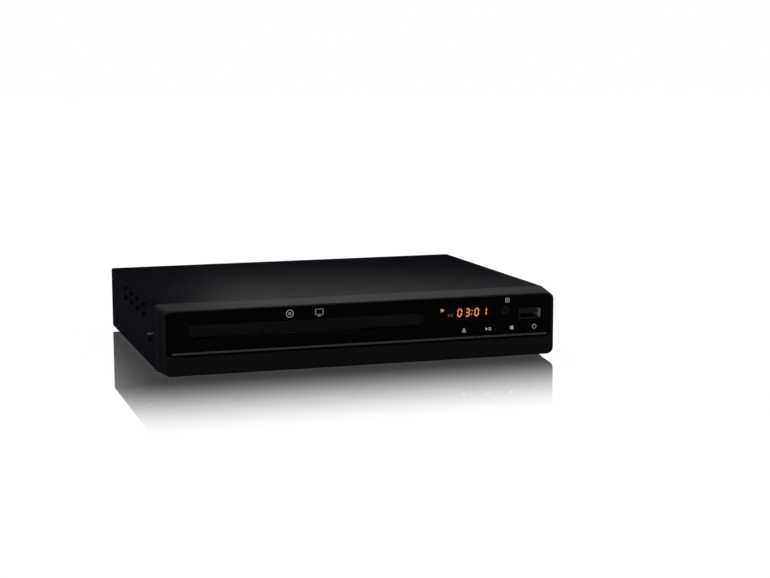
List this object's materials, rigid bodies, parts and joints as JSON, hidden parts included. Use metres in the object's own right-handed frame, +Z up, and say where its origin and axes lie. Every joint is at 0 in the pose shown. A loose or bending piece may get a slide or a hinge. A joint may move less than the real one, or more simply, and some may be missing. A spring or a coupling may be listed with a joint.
{
  "type": "disc player with tray",
  "caption": "Compact black disc player with a motor-driven tray, gloss front with four keys, amber clock display and a USB port, in a folded steel case.",
  "frame": {"origin": "On the surface that the player stands on, under the middle of its bounding box", "axes": "+X to the right along the front, +Y from the front to the back, +Z up"},
  "size_m": [0.2294, 0.189, 0.039],
  "materials": {
    "base_pan": "zinc-coated steel",
    "top_cover": "fine satin powder coat",
    "rear_panel": "fine satin powder coat",
    "bezel": "satin moulded",
    "fascia": "polished",
    "display_lens": "smoked",
    "display_module": "matt",
    "ir_receiver": "dark translucent",
    "usb_socket": "plated",
    "front_board": "solder resist",
    "key_trim": "moulded",
    "key_switches": "matt",
    "feet": "matt",
    "cover_screws": "black zinc",
    "board_screws": "zinc",
    "loader_screws": "zinc",
    "loader_frame": "moulded",
    "clamp_bridge": "zinc-coated steel",
    "clamper": "moulded",
    "loading_motor": "plated can",
    "motor_pulley": "moulded",
    "loading_belt": "matt",
    "pulley_gear": "moulded",
    "drive_gear": "moulded",
    "cam_slider": "moulded",
    "tray": "fine texture",
    "tray_cap": "satin gloss",
    "lift_frame": "moulded",
    "traverse_deck": "zinc-coated steel",
    "dampers": "soft",
    "spindle_motor": "plated",
    "turntable": "moulded",
    "guide_rods": "ground",
    "pickup_sled": "moulded",
    "lens_holder": "moulded",
    "pickup_lens": "polished",
    "sled_motor": "plated can",
    "sled_pinion": "moulded",
    "sled_gear": "moulded",
    "main_board": "solder resist",
    "board_chips": "moulded",
    "rca_jacks": "moulded and plated",
    "hdmi_socket": "plated",
    "power_board": "paper laminate",
    "transformer": "taped winding",
    "capacitors": "sleeved",
    "power_heatsink": "extruded",
    "mains_inlet": "moulded",
    "front_cable": "laminated ribbon",
    "power_harness": "insulated wires",
    "key_eject": "moulded",
    "key_play": "moulded",
    "key_stop": "moulded",
    "key_power": "moulded",
    "stem_eject": "moulded",
    "stem_play": "moulded",
    "stem_stop": "moulded",
    "stem_power": "moulded"
  },
  "bodies": {
    "chassis": {"base_pan": "base_pan", "top_cover": "top_cover", "rear_panel": "rear_panel", "bezel": "bezel", "fascia": "fascia", "display_lens": "display_lens", "display_module": "display_module", "ir_receiver": "ir_receiver", "usb_socket": "usb_socket", "front_board": "front_board", "key_trim": "key_trim", "key_switches": "key_switches", "feet": "feet", "cover_screws": "cover_screws", "board_screws": "board_screws", "loader_screws": "loader_screws", "loader_frame": "loader_frame", "clamp_bridge": "clamp_bridge", "loading_motor": "loading_motor", "loading_belt": "loading_belt", "main_board": "main_board", "board_chips": "board_chips", "rca_jacks": "rca_jacks", "hdmi_socket": "hdmi_socket", "power_board": "power_board", "transformer": "transformer", "capacitors": "capacitors", "power_heatsink": "power_heatsink", "mains_inlet": "mains_inlet", "front_cable": "front_cable", "power_harness": "power_harness"},
    "tray_unit": {"tray": "tray", "tray_cap": "tray_cap"},
    "drive_gear": {"drive_gear": "drive_gear"},
    "pulley_gear": {"pulley_gear": "pulley_gear"},
    "motor_pulley": {"motor_pulley": "motor_pulley"},
    "cam_slider": {"cam_slider": "cam_slider"},
    "traverse": {"lift_frame": "lift_frame", "traverse_deck": "traverse_deck", "dampers": "dampers", "spindle_motor": "spindle_motor", "guide_rods": "guide_rods", "sled_motor": "sled_motor"},
    "turntable": {"turntable": "turntable"},
    "clamper": {"clamper": "clamper"},
    "pickup": {"pickup_sled": "pickup_sled"},
    "lens": {"lens_holder": "lens_holder", "pickup_lens": "pickup_lens"},
    "sled_gear": {"sled_gear": "sled_gear"},
    "sled_pinion": {"sled_pinion": "sled_pinion"},
    "key_eject": {"key_eject": "key_eject"},
    "stem_eject": {"stem_eject": "stem_eject"},
    "key_play": {"key_play": "key_play"},
    "stem_play": {"stem_play": "stem_play"},
    "key_stop": {"key_stop": "key_stop"},
    "stem_stop": {"stem_stop": "stem_stop"},
    "key_power": {"key_power": "key_power"},
    "stem_power": {"stem_power": "stem_power"}
  },
  "joints": [
    {"name": "tray_slide", "type": "slide", "parent": "chassis", "child": "tray_unit", "axis": [0, -1, 0], "range_m": [0, 0.13]},
    {"name": "drive_gear_spin", "type": "hinge", "parent": "chassis", "child": "drive_gear", "pos_m": [-0.0803, -0.0755, 0.0102], "axis": [0, 0, 1], "range_deg": [0, 620.75]},
    {"name": "pulley_gear_spin", "type": "hinge", "parent": "chassis", "child": "pulley_gear", "pos_m": [-0.0611, -0.0755, 0.0102], "axis": [0, 0, 1], "range_deg": [-1241.46, 0]},
    {"name": "motor_pulley_spin", "type": "hinge", "parent": "chassis", "child": "motor_pulley", "pos_m": [-0.0273, -0.0755, 0.0136], "axis": [0, 0, 1], "range_deg": [-3724.28, 0]},
    {"name": "traverse_lift", "type": "hinge", "parent": "chassis", "child": "traverse", "pos_m": [-0.0323, 0.0525, 0.0121], "axis": [1, 0, 0], "range_deg": [0, 3.15]},
    {"name": "cam_slide", "type": "slide", "parent": "chassis", "child": "cam_slider", "axis": [1, 0, 0], "range_m": [0, 0.01401]},
    {"name": "turntable_spin", "type": "hinge", "parent": "traverse", "child": "turntable", "pos_m": [-0.0323, -0.025, 0.0262], "axis": [0, 0, 1], "continuous": true},
    {"name": "clamper_spin", "type": "hinge", "parent": "chassis", "child": "clamper", "pos_m": [-0.0323, -0.025, 0.031], "axis": [0, 0, 1], "continuous": true},
    {"name": "pickup_slide", "type": "slide", "parent": "traverse", "child": "pickup", "axis": [0, 1, 0], "range_m": [0, 0.034]},
    {"name": "sled_gear_spin", "type": "hinge", "parent": "traverse", "child": "sled_gear", "pos_m": [-0.0003, 0.0105, 0.0201], "axis": [0, 0, 1], "range_deg": [-243.56, 0]},
    {"name": "sled_pinion_spin", "type": "hinge", "parent": "traverse", "child": "sled_pinion", "pos_m": [-0.0003, 0.0217, 0.0201], "axis": [0, 0, 1], "range_deg": [0, 608.82]},
    {"name": "lens_focus", "type": "slide", "parent": "pickup", "child": "lens", "axis": [0, 0, 1], "range_m": [-0.0006, 0.0006], "stiffness_N_per_m": 100},
    {"name": "key_eject_press", "type": "slide", "parent": "chassis", "child": "key_eject", "axis": [0, 1, 0], "range_m": [0, 0.0006], "stiffness_N_per_m": 1000, "springref_m": -0.0005},
    {"name": "stem_eject_press", "type": "slide", "parent": "chassis", "child": "stem_eject", "axis": [0, 1, 0], "range_m": [0, 0.00031]},
    {"name": "key_play_press", "type": "slide", "parent": "chassis", "child": "key_play", "axis": [0, 1, 0], "range_m": [0, 0.0006], "stiffness_N_per_m": 1000, "springref_m": -0.0005},
    {"name": "stem_play_press", "type": "slide", "parent": "chassis", "child": "stem_play", "axis": [0, 1, 0], "range_m": [0, 0.00031]},
    {"name": "key_stop_press", "type": "slide", "parent": "chassis", "child": "key_stop", "axis": [0, 1, 0], "range_m": [0, 0.0006], "stiffness_N_per_m": 1000, "springref_m": -0.0005},
    {"name": "stem_stop_press", "type": "slide", "parent": "chassis", "child": "stem_stop", "axis": [0, 1, 0], "range_m": [0, 0.00031]},
    {"name": "key_power_press", "type": "slide", "parent": "chassis", "child": "key_power", "axis": [0, 1, 0], "range_m": [0, 0.0006], "stiffness_N_per_m": 1000, "springref_m": -0.0005},
    {"name": "stem_power_press", "type": "slide", "parent": "chassis", "child": "stem_power", "axis": [0, 1, 0], "range_m": [0, 0.00031]}
  ],
  "couplings": [
    {"joint": "drive_gear_spin", "follows": "tray_slide", "rad_per_m": 83.333},
    {"joint": "pulley_gear_spin", "follows": "tray_slide", "rad_per_m": -166.67},
    {"joint": "motor_pulley_spin", "follows": "tray_slide", "rad_per_m": -500},
    {"joint": "cam_slide", "follows": "traverse_lift", "m_per_rad": 0.25421},
    {"joint": "clamper_spin", "follows": "turntable_spin", "ratio": 1},
    {"joint": "sled_gear_spin", "follows": "pickup_slide", "rad_per_m": -125},
    {"joint": "sled_pinion_spin", "follows": "pickup_slide", "rad_per_m": 312.5},
    {"joint": "stem_eject_press", "follows": "key_eject_press", "ratio": 0.5},
    {"joint": "stem_play_press", "follows": "key_play_press", "ratio": 0.5},
    {"joint": "stem_stop_press", "follows": "key_stop_press", "ratio": 0.5},
    {"joint": "stem_power_press", "follows": "key_power_press", "ratio": 0.5}
  ]
}
